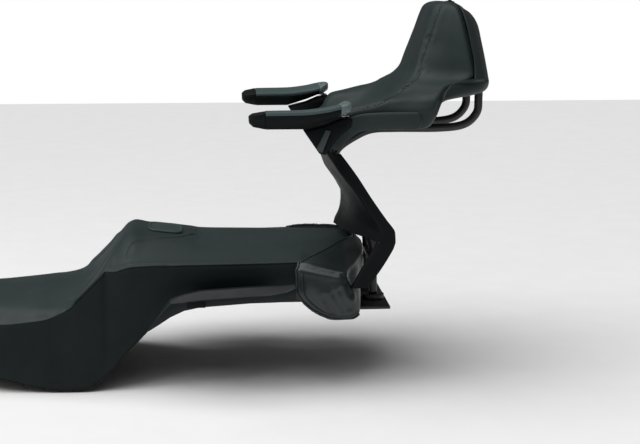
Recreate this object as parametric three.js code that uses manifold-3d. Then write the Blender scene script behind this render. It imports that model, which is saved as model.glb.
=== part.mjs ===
// Touring motorcycle seat: one-piece saddle, hip bolster, grab rails, passenger backrest and armrests.
// Millimetres. +X to the rear, +Y to the bike's right, +Z up. Origin: underside of the carrier foot.
import * as THREE from 'three';
import { mergeVertices } from 'three/addons/utils/BufferGeometryUtils.js';
import Module from 'manifold-3d';

const wasm = await Module();
wasm.setup();

// ---------- driving dimensions ----------
const GAP = 0.4;
const COVER = 2.0;
const FOAM_INSET = 3.6;
const PAN_WALL = 3.5;
const SIDES = [['left', -1], ['right', 1]];

// saddle sections: x, centre z, then (y, z) of the crown, the shoulder, the seam and the skirt hem
const SADDLE = [
  [-905, 14, 25, 13, 48, 8, 66, -20, 70, -52],
  [-897, 30, 35, 28, 64, 20, 88, -9, 92, -60],
  [-875, 37, 42, 36, 80, 29, 106, 2, 112, -68],
  [-830, 32, 52, 30, 98, 24, 128, -1, 135, -80],
  [-780, 28.5, 58, 26, 112, 19, 148, -6, 156, -90],
  [-730, 28.5, 62, 26, 124, 17.5, 162, -8, 172, -100],
  [-680, 32.5, 66, 29.5, 138, 18.5, 174, -6, 184, -111],
  [-640, 36.5, 68, 33.5, 152, 19.5, 181, -1, 188, -122],
  [-610, 40, 70, 36.5, 165, 20, 186, 4, 191, -127],
  [-585, 43, 75, 39, 165, 24, 188, 14, 192, -131],
  [-560, 48, 80, 44, 168, 33, 190, 28, 193, -131],
  [-549, 53, 80, 49, 168, 44, 191, 42, 193, -131],
  [-537, 60, 80, 57, 165, 55, 190, 53, 193, -130],
  [-521, 75, 78, 72, 160, 72, 188, 69, 192, -124],
  [-506, 93, 75, 91, 152, 90, 185, 83, 191, -112],
  [-495, 107, 70, 105, 145, 104, 180, 92, 190, -103],
  [-482, 123, 60, 123, 117, 117, 183, 92, 190, -89],
  [-464, 141, 55, 141, 100, 137, 186, 97, 190, -66],
  [-450, 147, 50, 148, 95, 142, 187, 101, 189.5, -53],
  [-425, 145.5, 50, 144, 96, 137.5, 187, 102.5, 188, -28],
  [-400, 142.5, 50, 141, 100, 134.5, 187, 103, 187, 0],
  [-370, 139, 55, 137, 108, 130, 187, 103, 185, 31],
  [-340, 134.5, 58, 132, 113, 125.5, 186, 103.5, 183, 45],
  [-320, 131, 60, 128.5, 120, 121, 186, 103.5, 182, 45],
  [-250, 129, 60, 126.5, 120, 119, 186, 104, 178, 45],
  [-160, 127.4, 60, 125, 120, 117.3, 187, 105.5, 180, 46],
  [-136, 127, 60, 124.5, 120, 117, 188, 106, 183, 50],
  [-118, 127, 56, 125, 110, 118.5, 172, 105, 168, 55],
  [-95, 127, 50, 125, 98, 120, 148, 110, 144, 58],
  [-70, 127, 40, 126, 78, 122.5, 114, 116.5, 110, 60],
  [-48, 126.5, 28, 126, 54, 124.5, 80, 121, 76, 60],
  [-32, 126, 18, 125.5, 32, 125, 48, 123, 45, 60],
  [-24, 123, 8, 123, 16, 122.5, 26, 121.5, 24, 62],
];
// top of the seat base pan on the centre plane: x, z
const PAN_LINE = [
  [-905, -14], [-830, -22], [-760, -34], [-620, -38], [-578, -34], [-555, -24], [-540, -10],
  [-518, 12], [-500, 30], [-481, 46], [-460, 58], [-440, 62], [-24, 62],
];
const PAN_FRONT = -893;
const PAN_REAR = -50;
const PATCH = { x: [-422, -404, -373, -355], halfWidth: 46, thick: 4, lift: 1 };
const FRONT_BUMPER = { x: -700, y: 90, r: 14, z0: -62, gap: 2.2 };
const REAR_BUMPER = { x: -300, r: 11 };
const REAR_BRACKET = { x0: -112, x1: -62, halfWidth: 40, z0: 52 };
const TONGUE = { x0: -888, x1: -820, halfWidth: 32, thick: 6, drop: 34 };

// rear hip bolster stations around half of the U:
// inner x, y, top z; outer x, y, top z; outer hem x, z; inner hem z
const BOLSTER = [
  [-136, 193.5, 106, -141, 199, 100, -141, 62, 66],
  [-118, 178, 112, -125, 209, 102, -127, 34, 44],
  [-96, 155, 117, -102, 217, 98, -104, 14, 34],
  [-72, 122, 122, -76, 222, 93, -72, 3, 30],
  [-50, 88, 127, -53, 225, 88, -38, 5, 52],
  [-40, 74, 128, -46, 190, 94, -44, 30, 52],
  [-32, 62, 128.5, -18, 130, 104, -18, 50, 52],
  [-21, 36, 128, -2, 60, 112, -2, 52, 52],
  [-20, 0, 127, 4, 0, 114, 4, 52, 52],
];
const BOLSTER_INSET = 5.3;

// carrier
const FOOT = { x0: -44, x1: 44, halfWidth: 135, thick: 6 };
const RAIL = { y: 75, width: 30, x0: -440, x1: -12, z0: FOOT.thick + GAP, z1: 48, wall: 3 };
const UPRIGHT = { y: 64, r: 8, path: [[18, 16.8], [18, 60], [18, 108], [6, 145], [-12, 175], [-17, 200],
  [-28, 232], [-48, 262], [-57, 285], [-51, 305], [-18, 328], [14, 341], [60, 343], [150, 343], [196, 350],
  [219, 372], [222, 400], [222, 455]] };
const UPRIGHT_FLANGE = { r: 22, z0: FOOT.thick + GAP, z1: 16.4 };
const CROSS_BAR = { r: 7, x: 18, z: 84 };

// grab rail sections: x, bottom z, outer edge z, top z, inner y, outer y
const GRAB = [
  [-416, -8, -3, 0, 238, 246],
  [-398, 4, 19, 24, 234, 250],
  [-375, 20, 46, 52, 230, 254],
  [-350, 32, 48, 60, 228, 256],
  [-321, 38, 52, 66, 228, 257],
  [-229, 44, 57, 71, 228, 257],
  [-194, 44.5, 58, 72, 228, 257],
  [-166, 45, 63, 73, 228, 256],
  [-146, 45, 70, 75, 229, 254],
];
const GRAB_BRACKET = { x0: -335, x1: -190, y0: 90.4, y1: 227.6, z0: 38.5, z1: 43.5, lip: 60, lipThick: 5 };
const GRAB_BOLTS = { x: [-320, -205], z: 52, r: 5.5, length: 6 };
const GRAB_CAP = { x0: -345, x1: -311, y0: 257.4, y1: 260, z0: 38.5, z1: 50.5 };

// lower back panel: z, centre x, ridge x, rear edge x, half width
const PANEL = [
  [148, -55, 6, 41, 225],
  [166, -46, 9, 40, 225],
  [190, -40, -2, 24, 225],
  [207, -39, -13, 12, 224],
  [232, -50, -28, -5, 221],
  [268, -74, -56, -28, 212],
  [292, -82, -73, -45, 200],
  [309, -86, -84, -58, 186],
];
const PANEL_TAIL = [[147.6, 6, 41], [138, 2, 38], [100, -20, 16], [62, -41, -12]];
const PANEL_WALL = 3;

// backrest cushion slices: z, then ten (x, y) points from the front centre round to the rear centre
const CUSHION = [
  [314, -78, 0, -79, 62, -84, 105, -90, 138, -93, 155, -89, 170, -80, 176, -68, 174, -60, 100, -55, 0],
  [337, -50, 0, -52, 66, -62, 110, -76, 140, -79, 162, -72, 186, -60, 191, -46, 190, -30, 110, -22, 0],
  [351, -24, 0, -27, 68, -42, 112, -66, 142, -69, 164, -63, 191, -48, 196, -30, 195, 0, 115, 10, 0],
  [356, -12, 0, -15, 70, -34, 113, -63, 143, -66, 165, -60, 192, 20, 197, 96, 198, 104, 115, 110, 0],
  [378, 20, 0, 16, 70, -6, 115, -52, 144, -56, 165, -50, 194, 30, 199, 114, 199, 118, 118, 122, 0],
  [391, 38, 0, 34, 70, 14, 115, -38, 145, -44, 165, -40, 193, 40, 199, 119, 199, 124, 118, 128, 0],
  [399, 46, 0, 42, 70, 26, 115, -8, 145, -14, 165, -10, 191, 50, 197, 122, 197, 130, 119, 134, 0],
  [406, 52, 0, 48, 70, 36, 115, 16, 144, 12, 164, 16, 187, 60, 195, 126, 195, 140, 119, 146, 0],
  [416, 58, 0, 56, 70, 48, 115, 42, 140, 44, 158, 60, 178, 92, 188, 130, 189, 200, 121, 205, 0],
  [425, 64, 0, 62, 70, 58, 112, 58, 136, 64, 150, 86, 166, 112, 174, 136, 177, 200, 122, 205, 0],
  [433, 68, 0, 68, 68, 68, 108, 72, 132, 80, 143, 100, 154, 124, 159, 146, 161, 200, 120, 205, 0],
  [441, 73, 0, 73, 64, 76, 100, 84, 121, 94, 130, 112, 136, 152, 138, 196, 138, 202, 92, 205, 0],
  [456, 82, 0, 84, 58, 88, 88, 94, 106, 105, 116, 121, 122, 160, 127, 200, 129, 203, 90, 205, 0],
  [480, 92, 0, 93, 55, 96, 80, 101, 96, 110, 106, 125, 114, 160, 121, 196, 124, 199, 86, 201, 0],
  [507, 102, 0, 103, 52, 106, 76, 113, 89, 121, 98, 135, 106, 160, 114, 191, 119, 194, 80, 196, 0],
  [532, 111, 0, 112, 50, 115, 72, 122, 85, 130, 94, 142, 101, 163, 108, 186, 112, 189, 75, 191, 0],
  [560, 121, 0, 121, 47, 124, 66, 131, 79, 139, 88, 150, 93, 165, 98, 180, 101, 183, 68, 185, 0],
  [575, 127, 0, 128, 42, 130, 60, 136, 72, 144, 80, 152, 84, 163, 88, 174, 90, 177, 58, 179, 0],
  [582, 136, 0, 137, 34, 139, 52, 143, 63, 149, 70, 155, 73, 162, 75, 168, 76, 171, 48, 173, 0],
  [585, 148, 0, 148.5, 26, 149, 40, 151, 50, 153.5, 56, 156, 58, 159.5, 57.5, 163, 52, 165, 34, 166, 0],
];
const CUSHION_SKIN = 2.2;

// rear shell slices: z, seam x and y, shoulder x and y, rear x
const SHELL = [
  [404, 128, 198, 150, 128, 162],
  [410, 131, 193, 196, 124, 222],
  [417, 134, 187, 216, 120, 243],
  [425, 139, 181, 222, 117, 249],
  [434, 149, 165, 225, 114, 250],
  [442, 200, 140, 226, 110, 249],
  [470, 201, 129, 222, 102, 244],
  [507, 195, 121, 213, 94, 236],
  [540, 189, 112, 206, 85, 228],
  [562, 184, 102, 197, 74, 214],
  [576, 178.5, 88, 186, 62, 192],
  [583, 170, 62, 176, 46, 183],
];
const SHELL_WALL = 3;
const SHELL_HOLE = { r: 11, z0: 370, z1: 472 };
const FRAME_PLATE = { x0: 207, x1: 211, halfWidth: 80, z0: 420, z1: 470 };

// lower band under the wings: x, z of the roll's centre line, radius
const BAND = [[-78, 322], [-58, 346], [-28, 366], [20, 371], [92, 371]];
const BAND_Y = 203.5;
const BAND_HALF = { y: 3, z: 16 };

// armrest sections: x, inner top z, outer top z, bottom z, half width, side crease z
const ARM_Y = 243;
const ARM = [
  [-229, 384, 387, 374, 27, 380],
  [-222, 388, 392, 368, 33, 381],
  [-200, 391, 396, 364, 39, 381],
  [-134, 392, 397, 364, 40, 382],
  [-92, 396.5, 401.5, 377, 40, 387],
  [-66, 402, 407, 387, 39.5, 393],
  [-54, 409, 409, 391, 36, 398],
  [-47, 410, 409, 395, 29, 400],
];
const ARM_FRONT = ARM[0][0];
const ARM_REAR = ARM[ARM.length - 1][0];
const ARM_PAD = 7;
const ARM_NOSE_X = -200;
const ARM_CAP_X = -66;
const PIVOT = { x: -57, r: 4, bore: 4.6, z0: 382.8, z1: 404 };
const WASHER = { r: 9, z0: 383.8, z1: 385.8 };
const BRACKET = { y0: 207.2, y1: 262, outline: [[-131, 359], [-103, 318], [-92, 316], [-68, 346], [-44, 366],
  [-44, 383], [-66, 380], [-92, 369]] };
const STRUT = { y: 262.4, thick: 4, outline: [[-92, 362], [-83, 360], [-99, 320], [-109, 327]] };

// looks
const VINYL = { color: 0x1d2122, roughness: 0.6 };
const LEATHER = { color: 0x15191a, roughness: 0.4 };
const PLASTIC = { color: 0x16191a, roughness: 0.5 };
const FOAM = { color: 0xb9ab86, roughness: 0.95 };
const STEEL = { color: 0x2b2d2e, roughness: 0.45, metalness: 0.8 };
const RUBBER = { color: 0x101010, roughness: 0.85 };
const ZINC = { color: 0x9a9da0, roughness: 0.35, metalness: 0.9 };

// ---------- helpers ----------
const group = new THREE.Group();

function addMesh(name, geometry, look) {
  const mesh = new THREE.Mesh(geometry, new THREE.MeshStandardMaterial(look));
  mesh.name = name;
  mesh.material.name = name;
  group.add(mesh);
  return mesh;
}

function toSolid(geometry) {
  let g = geometry.clone();
  g.deleteAttribute('normal');
  g.deleteAttribute('uv');
  g = mergeVertices(g, 1e-4);
  return new wasm.Manifold(new wasm.Mesh({
    numProp: 3,
    vertProperties: new Float32Array(g.attributes.position.array),
    triVerts: new Uint32Array(g.index.array),
  }));
}

function toGeometry(solid) {
  const mesh = solid.getMesh();
  const g = new THREE.BufferGeometry();
  const positions = new Float32Array((mesh.vertProperties.length / mesh.numProp) * 3);
  for (let i = 0; i < positions.length / 3; i++) {
    for (let k = 0; k < 3; k++) positions[i * 3 + k] = mesh.vertProperties[i * mesh.numProp + k];
  }
  g.setAttribute('position', new THREE.BufferAttribute(positions, 3));
  g.setIndex(new THREE.BufferAttribute(new Uint32Array(mesh.triVerts), 1));
  g.computeVertexNormals();
  return g;
}

// the largest of a solid's separate bodies
function largest(solid) {
  const bodies = solid.decompose();
  bodies.sort((p, q) => q.volume() - p.volume());
  return toGeometry(bodies[0]);
}

function cut(a, b) {
  return largest(toSolid(a).subtract(toSolid(b)));
}

// a trimmed to stand clear of each neighbour by GAP along every axis
function trim(a, neighbours) {
  let solid = toSolid(a);
  for (const b of neighbours) {
    const near = toSolid(b);
    for (const [x, y, z] of [[0, 0, 0], [1, 0, 0], [-1, 0, 0], [0, 1, 0], [0, -1, 0], [0, 0, 1], [0, 0, -1]]) {
      solid = solid.subtract(near.translate([x * GAP, y * GAP, z * GAP]));
    }
  }
  return largest(solid);
}

function join(a, b) {
  return toGeometry(toSolid(a).add(toSolid(b)));
}

// whether triangles over a ring of n points walk its edges in the ring's own direction
function followsRing(faces, n) {
  for (const face of faces) {
    for (let k = 0; k < 3; k++) {
      const from = face[k];
      const to = face[(k + 1) % 3];
      if (to === (from + 1) % n) return true;
      if (from === (to + 1) % n) return false;
    }
  }
  return true;
}

// closed solid through rings of equal point count; flat2d projects a ring for its end cap
function loft(rings, flat2d) {
  const n = rings[0].length;
  const positions = rings.flat(2);
  const index = [];
  for (let i = 0; i < rings.length - 1; i++) {
    for (let j = 0; j < n; j++) {
      const a = i * n + j;
      const b = i * n + (j + 1) % n;
      index.push(a, b, b + n, a, b + n, a + n);
    }
  }
  const last = (rings.length - 1) * n;
  for (const [start, along] of [[0, false], [last, true]]) {
    const ring = rings[start === 0 ? 0 : rings.length - 1].map((p) => new THREE.Vector2(...flat2d(p)));
    const faces = THREE.ShapeUtils.triangulateShape(ring, []);
    const same = followsRing(faces, n) === along;
    for (const [a, b, c] of faces) {
      if (same) index.push(start + a, start + b, start + c);
      else index.push(start + a, start + c, start + b);
    }
  }
  const g = new THREE.BufferGeometry();
  g.setAttribute('position', new THREE.Float32BufferAttribute(positions, 3));
  g.setIndex(index);
  return outward(g);
}

// turns a closed mesh so that its faces look outward
function outward(g) {
  const p = g.attributes.position;
  const idx = g.index.array;
  const a = new THREE.Vector3();
  const b = new THREE.Vector3();
  const c = new THREE.Vector3();
  let volume = 0;
  for (let i = 0; i < idx.length; i += 3) {
    a.fromBufferAttribute(p, idx[i]);
    b.fromBufferAttribute(p, idx[i + 1]);
    c.fromBufferAttribute(p, idx[i + 2]);
    volume += a.dot(b.cross(c));
  }
  if (volume < 0) {
    for (let i = 0; i < idx.length; i += 3) {
      const swap = idx[i + 1];
      idx[i + 1] = idx[i + 2];
      idx[i + 2] = swap;
    }
  }
  g.computeVertexNormals();
  return g;
}

function lerpTable(table, x) {
  if (x <= table[0][0]) return table[0].slice(1);
  for (let i = 1; i < table.length; i++) {
    if (x <= table[i][0]) {
      const t = (x - table[i - 1][0]) / (table[i][0] - table[i - 1][0]);
      return table[i].slice(1).map((v, k) => table[i - 1][k + 1] * (1 - t) + v * t);
    }
  }
  return table[table.length - 1].slice(1);
}

// offsets an open polyline sideways by k, to its right-hand side
function offsetLine(points, k) {
  return points.map((p, i) => {
    const a = points[Math.max(0, i - 1)];
    const b = points[Math.min(points.length - 1, i + 1)];
    const dx = b[0] - a[0];
    const dy = b[1] - a[1];
    const length = Math.hypot(dx, dy);
    return [p[0] + dy / length * k, p[1] - dx / length * k];
  });
}

function box(x0, x1, y0, y1, z0, z1) {
  const g = new THREE.BoxGeometry(x1 - x0, y1 - y0, z1 - z0);
  g.translate((x0 + x1) / 2, (y0 + y1) / 2, (z0 + z1) / 2);
  return g;
}

function rod(radius, from, to, segments = 16) {
  const a = new THREE.Vector3(...from);
  const b = new THREE.Vector3(...to);
  const g = new THREE.CylinderGeometry(radius, radius, a.distanceTo(b), segments);
  g.applyQuaternion(new THREE.Quaternion().setFromUnitVectors(
    new THREE.Vector3(0, 1, 0), b.clone().sub(a).normalize()));
  g.translate((a.x + b.x) / 2, (a.y + b.y) / 2, (a.z + b.z) / 2);
  return g;
}

// plate with an outline in the XZ plane, from y0 to y1
function sidePlate(outline, y0, y1) {
  const rings = [y0, y1].map((y) => outline.map(([x, z]) => [x, y, z]));
  return loft(rings, (p) => [p[0], p[2]]);
}

// ---------- saddle ----------
function saddleHalf(row, steps) {
  const [, zc, y1, z1, y2, z2, y3, z3, y4, z4] = row;
  const curve = new THREE.CatmullRomCurve3([
    new THREE.Vector3(0, zc, 0),
    new THREE.Vector3(y1, z1, 0),
    new THREE.Vector3(y2, z2, 0),
    new THREE.Vector3(y3, z3, 0),
  ], false, 'centripetal');
  const points = [];
  for (let i = 0; i <= steps; i++) {
    const p = curve.getPoint(i / steps);
    points.push([p.x, p.y]);
  }
  points.push([y4, z4]);
  return points;
}

// saddle solid shrunk by k, with its hem lowered or raised by drop
function saddleSolid(k, drop, front, rear) {
  const rows = SADDLE.map((row) => [...row]);
  rows[0][0] += front;
  rows[rows.length - 1][0] -= rear;
  const rings = rows.map((row) => {
    const half = offsetLine(saddleHalf(row, 7), k);
    half[0][0] = 0;
    const hem = half[half.length - 1];
    const seam = half[half.length - 2];
    const lean = (hem[0] - seam[0]) / (hem[1] - seam[1]);
    half[half.length - 1] = [hem[0] + lean * (row[9] + drop - hem[1]), row[9] + drop];
    const left = half.slice(1).reverse().map(([y, z]) => [row[0], -y, z]);
    return [...left, ...half.map(([y, z]) => [row[0], y, z])];
  });
  return loft(rings, (p) => [p[1], p[2]]);
}

function panHalf(x, grow) {
  const [, , , , , y3, , y4, z4] = lerpTable(SADDLE, x);
  const [zp] = lerpTable(PAN_LINE, x);
  const side = Math.max(6, Math.min(y3, y4) - 12 + grow);
  const hem = Math.min(z4 + 7, zp - 8);
  return [
    [0, zp + grow],
    [side * 0.82, zp + grow],
    [side, zp - 6 + grow * 0.4],
    [side, hem],
  ];
}

function panSolid(grow, drop, front, rear) {
  const xs = [PAN_FRONT + front, ...SADDLE.map((row) => row[0])
    .filter((x) => x > PAN_FRONT + 4 && x < PAN_REAR - 4), PAN_REAR - rear];
  const rings = xs.map((x) => {
    const half = panHalf(x, grow);
    half[3][1] -= drop;
    const left = half.slice(1).reverse().map(([y, z]) => [x, -y, z]);
    return [...left, ...half.map(([y, z]) => [x, y, z])];
  });
  return loft(rings, (p) => [p[1], p[2]]);
}

const seatCover = cut(saddleSolid(0, 0, 0, 0), saddleSolid(COVER, -60, 3, 3));
const seatFoam = cut(saddleSolid(FOAM_INSET, 3, 3.9, 3.9), panSolid(GAP, 90, -GAP, -GAP));
addMesh('seat_cover', seatCover, VINYL);
addMesh('seat_foam', trim(seatFoam, [seatCover]), FOAM);
addMesh('seat_base_pan', cut(panSolid(0, 0, 0, 0), panSolid(-PAN_WALL, 60, 4, 4)), PLASTIC);

// raised pad on the hump
const patchRings = PATCH.x.map((x, i) => {
  const [zc] = lerpTable(SADDLE, x);
  const w = i === 0 || i === PATCH.x.length - 1 ? PATCH.halfWidth - 6 : PATCH.halfWidth;
  const z0 = zc + PATCH.lift;
  const z1 = z0 + PATCH.thick;
  return [[x, -w, z0], [x, w, z0], [x, w, z1 - 1.5], [x, w - 3, z1], [x, -w + 3, z1], [x, -w, z1 - 1.5]];
});
addMesh('hump_patch', loft(patchRings, (p) => [p[1], p[2]]), VINYL);

// tongue, rear bracket and rubber bumpers under the pan
const panUnder = (x) => lerpTable(PAN_LINE, x)[0] - PAN_WALL;
const tongueZ = panUnder(TONGUE.x1) - GAP;
addMesh('front_tongue', join(
  box(TONGUE.x0, TONGUE.x1, -TONGUE.halfWidth, TONGUE.halfWidth, tongueZ - TONGUE.thick, tongueZ),
  box(TONGUE.x0, TONGUE.x0 + 8, -24, 24, tongueZ - TONGUE.drop, tongueZ - 1)), STEEL);
addMesh('rear_seat_bracket', box(REAR_BRACKET.x0, REAR_BRACKET.x1, -REAR_BRACKET.halfWidth,
  REAR_BRACKET.halfWidth, REAR_BRACKET.z0, panUnder(REAR_BRACKET.x1) - GAP), STEEL);
for (const [side, s] of SIDES) {
  const front = FRONT_BUMPER;
  addMesh(`${side}_front_bumper`, rod(front.r, [front.x, s * front.y, front.z0],
    [front.x, s * front.y, panUnder(front.x) - front.gap]), RUBBER);
  const rear = REAR_BUMPER;
  addMesh(`${side}_rear_bumper`, rod(rear.r, [rear.x, s * RAIL.y, RAIL.z1 + GAP],
    [rear.x, s * RAIL.y, panUnder(rear.x) - GAP]), RUBBER);
}

// ---------- rear hip bolster ----------
function bolsterRing(row, y, k, hem, drop) {
  const [ix, iy, iz, ox, oy, oz, hx, hz, jz] = row;
  const length = Math.hypot(ox - ix, oy - iy);
  const ux = (ox - ix) / length;
  const uy = (oy - iy) / length;
  const at = (t, z) => [ix + ux * t, (iy + uy * t) * y, z];
  const out = length - k;
  const r = Math.min(9, length / 4);
  const top = oz - k - r;
  const t = (top - (hz + hem - drop)) / (top - hz);
  const hemX = ox - ux * k + (hx - ox) * t;
  const hemOut = [hemX, (oy - uy * k) * y, hz + hem - drop];
  return [
    at(k, jz + hem - drop),
    at(k, iz - k - 3),
    at(k + 3, iz - k),
    at((k + out) / 2, (iz + oz) / 2 - k + Math.min(5, length / 30)),
    at(out - r, oz - k),
    at(out, oz - k - r),
    hemOut,
  ];
}

function bolsterSolid(k, hem, drop, ends) {
  const half = BOLSTER.map((row) => [...row]);
  half[0] = half[0].map((v, i) => (ends > 0 ? v + (half[1][i] - v) * ends : v));
  const rings = half.map((row) => bolsterRing(row, 1, k, hem, drop));
  const mirrored = half.slice(0, -1).reverse().map((row) => bolsterRing(row, -1, k, hem, drop));
  return loft([...rings, ...mirrored], (p) => [p[1], p[2]]);
}

const bolsterCover = cut(bolsterSolid(0, 0, 0, 0), bolsterSolid(COVER, 0, 30, 0.2));
const bolsterFoam = trim(bolsterSolid(BOLSTER_INSET, BOLSTER_INSET, 0, 0.3), [bolsterCover]);
addMesh('bolster_cover', bolsterCover, LEATHER);
addMesh('bolster_foam', bolsterFoam, FOAM);

// ---------- carrier ----------
addMesh('carrier_foot', box(FOOT.x0, FOOT.x1, -FOOT.halfWidth, FOOT.halfWidth, 0, FOOT.thick), STEEL);
for (const [side, s] of SIDES) {
  const yIn = s * RAIL.y - RAIL.width / 2;
  const yOut = s * RAIL.y + RAIL.width / 2;
  const bore = box(RAIL.x0 - 5, RAIL.x1 + 5, yIn + RAIL.wall, yOut - RAIL.wall,
    RAIL.z0 + RAIL.wall, RAIL.z1 - RAIL.wall);
  addMesh(`${side}_seat_rail`, cut(box(RAIL.x0, RAIL.x1, yIn, yOut, RAIL.z0, RAIL.z1), bore), STEEL);
  const path = new THREE.CatmullRomCurve3(
    UPRIGHT.path.map(([x, z]) => new THREE.Vector3(x, s * UPRIGHT.y, z)), false, 'centripetal');
  const disc = new THREE.Shape();
  disc.absarc(0, 0, UPRIGHT.r, 0, Math.PI * 2);
  const tube = { steps: 34, curveSegments: 4, extrudePath: path };
  addMesh(`${side}_upright`, new THREE.ExtrudeGeometry(disc, tube), STEEL);
  addMesh(`${side}_upright_flange`, rod(UPRIGHT_FLANGE.r, [18, s * UPRIGHT.y, UPRIGHT_FLANGE.z0],
    [18, s * UPRIGHT.y, UPRIGHT_FLANGE.z1], 20), STEEL);
}
const barEnd = UPRIGHT.y - UPRIGHT.r - GAP;
addMesh('upright_cross_bar', rod(CROSS_BAR.r, [CROSS_BAR.x, -barEnd, CROSS_BAR.z],
  [CROSS_BAR.x, barEnd, CROSS_BAR.z], 12), STEEL);

// ---------- grab rails ----------
for (const [side, s] of SIDES) {
  const rings = GRAB.map(([x, zb, ze, zt, yi, yo]) => [
    [x, s * (yi + 3), zb], [x, s * (yo - 2), zb], [x, s * yo, zb + 2], [x, s * yo, ze],
    [x, s * ((yi + yo) / 2), zt], [x, s * (yi + 2), zt], [x, s * yi, zt - 3],
  ]);
  addMesh(`${side}_grab_rail`, loft(rings, (p) => [p[1], p[2]]), PLASTIC);
  const b = GRAB_BRACKET;
  const flat = [[b.y0, b.z0], [b.y1, b.z0], [b.y1, b.lip], [b.y1 - b.lipThick, b.lip],
    [b.y1 - b.lipThick, b.z1], [b.y0, b.z1]];
  const bracket = [b.x0, b.x1].map((x) => flat.map(([y, z]) => [x, s * y, z]));
  addMesh(`${side}_grab_bracket`, loft(bracket, (p) => [p[1], p[2]]), STEEL);
  const inner = b.y1 - b.lipThick - GAP;
  const bolt = GRAB_BOLTS;
  bolt.x.forEach((x, i) => {
    addMesh(`${side}_grab_bolt_${i + 1}`,
      rod(bolt.r, [x, s * (inner - bolt.length), bolt.z], [x, s * inner, bolt.z], 6), ZINC);
  });
  const cap = GRAB_CAP;
  const [y0, y1] = s > 0 ? [cap.y0, cap.y1] : [-cap.y1, -cap.y0];
  addMesh(`${side}_grab_cap`, box(cap.x0, cap.x1, y0, y1, cap.z0, cap.z1), PLASTIC);
}

// ---------- lower back panel ----------
function panelHalf(row, k) {
  const [, xc, xr, xo, w] = row;
  const points = [
    [xc, 0], [xc + (xr - xc) * 0.25, w * 0.42], [xc + (xr - xc) * 0.8, w * 0.8],
    [xr, w - 8], [xr + 7, w], [xo, w],
  ];
  const line = offsetLine(points, k);
  line[0][1] = 0;
  line[line.length - 1][0] = xo;
  return line;
}

function panelRing(row) {
  const z = row[0];
  const outer = panelHalf(row, 0);
  const inner = panelHalf(row, PANEL_WALL);
  const front = [...outer.slice(1).reverse().map(([x, y]) => [x, -y, z]), ...outer.map(([x, y]) => [x, y, z])];
  const back = [...inner.slice(1).reverse().map(([x, y]) => [x, -y, z]), ...inner.map(([x, y]) => [x, y, z])];
  return [...front, ...back.reverse()];
}

addMesh('lower_back_panel', loft(PANEL.map(panelRing), (p) => [p[0], p[1]]), PLASTIC);
for (const [side, s] of SIDES) {
  const rings = PANEL_TAIL.map(([z, xr, xo]) => [
    [xr, s * 212, z], [xr + 6, s * 225, z], [xo, s * 225, z], [xo, s * 221, z], [xr + 9, s * 221, z],
    [xr + 4, s * 212, z],
  ]);
  addMesh(`${side}_panel_tail`, loft(rings, (p) => [p[0], p[1]]), PLASTIC);
}

// ---------- backrest ----------
function slicePoints(row) {
  const points = [];
  for (let i = 1; i < row.length; i += 2) points.push([row[i], row[i + 1]]);
  return points;
}

function cushionSolid() {
  const rings = CUSHION.map((row) => {
    const half = slicePoints(row);
    const right = half.map(([x, y]) => [x, y, row[0]]);
    const left = half.slice(1, -1).reverse().map(([x, y]) => [x, -y, row[0]]);
    return [...right, ...left];
  });
  return toSolid(loft(rings, (p) => [p[0], p[1]]));
}

// what is left of the cushion under a skin of thickness t that is open at the back
function underSkin(cushion, t) {
  return cushion.translate([t, t, 0])
    .intersect(cushion.translate([t, -t, 0]))
    .intersect(cushion.translate([t, 0, t]))
    .intersect(cushion.translate([t, 0, -t]));
}

const cushion = cushionSolid();
const cushionCore = underSkin(cushion, CUSHION_SKIN);
const cushionFoam = underSkin(cushionCore, GAP)
  .intersect(cushionCore)
  .intersect(cushionCore.translate([-GAP - CUSHION_SKIN, 0, 0]));
addMesh('backrest_cover', toGeometry(cushion.subtract(cushionCore)), VINYL);
addMesh('backrest_foam', toGeometry(cushionFoam), FOAM);

// rear shell, open towards the cushion and at its lower edge
function shellSolid(k, open) {
  const last = SHELL.length - 1;
  const rings = SHELL.map((row, i) => {
    const [zRow, xs, ys, xm, ym, xr] = row;
    const z = i === last ? zRow - k : i === 0 && k > 0 ? zRow - 4 : zRow;
    const front = xs + 1 - (open ? 12 : 0);
    const half = [[front, ys - k], [xs + 1, ys - k], [xm - k * 0.7, ym - k * 0.8],
      [xr - 6 - k, ym * 0.45], [xr - k, 0]];
    const right = half.map(([x, y]) => [x, y, z]);
    const left = half.slice(0, -1).reverse().map(([x, y]) => [x, -y, z]);
    return [...right, ...left];
  });
  return loft(rings, (p) => [p[0], p[1]]);
}
let shellBody = toSolid(shellSolid(0, false))
  .subtract(toSolid(shellSolid(SHELL_WALL, true)))
  .subtract(cushion.translate([GAP, 0, 0]))
  .subtract(cushion.translate([0, GAP, 0]))
  .subtract(cushion.translate([0, -GAP, 0]));
for (const s of [-1, 1]) {
  const [x] = UPRIGHT.path[UPRIGHT.path.length - 1];
  shellBody = shellBody.subtract(toSolid(rod(SHELL_HOLE.r, [x, s * UPRIGHT.y, SHELL_HOLE.z0],
    [x, s * UPRIGHT.y, SHELL_HOLE.z1])));
}
addMesh('backrest_shell', largest(shellBody), PLASTIC);
addMesh('backrest_frame', box(FRAME_PLATE.x0, FRAME_PLATE.x1, -FRAME_PLATE.halfWidth, FRAME_PLATE.halfWidth,
  FRAME_PLATE.z0, FRAME_PLATE.z1), STEEL);
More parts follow.
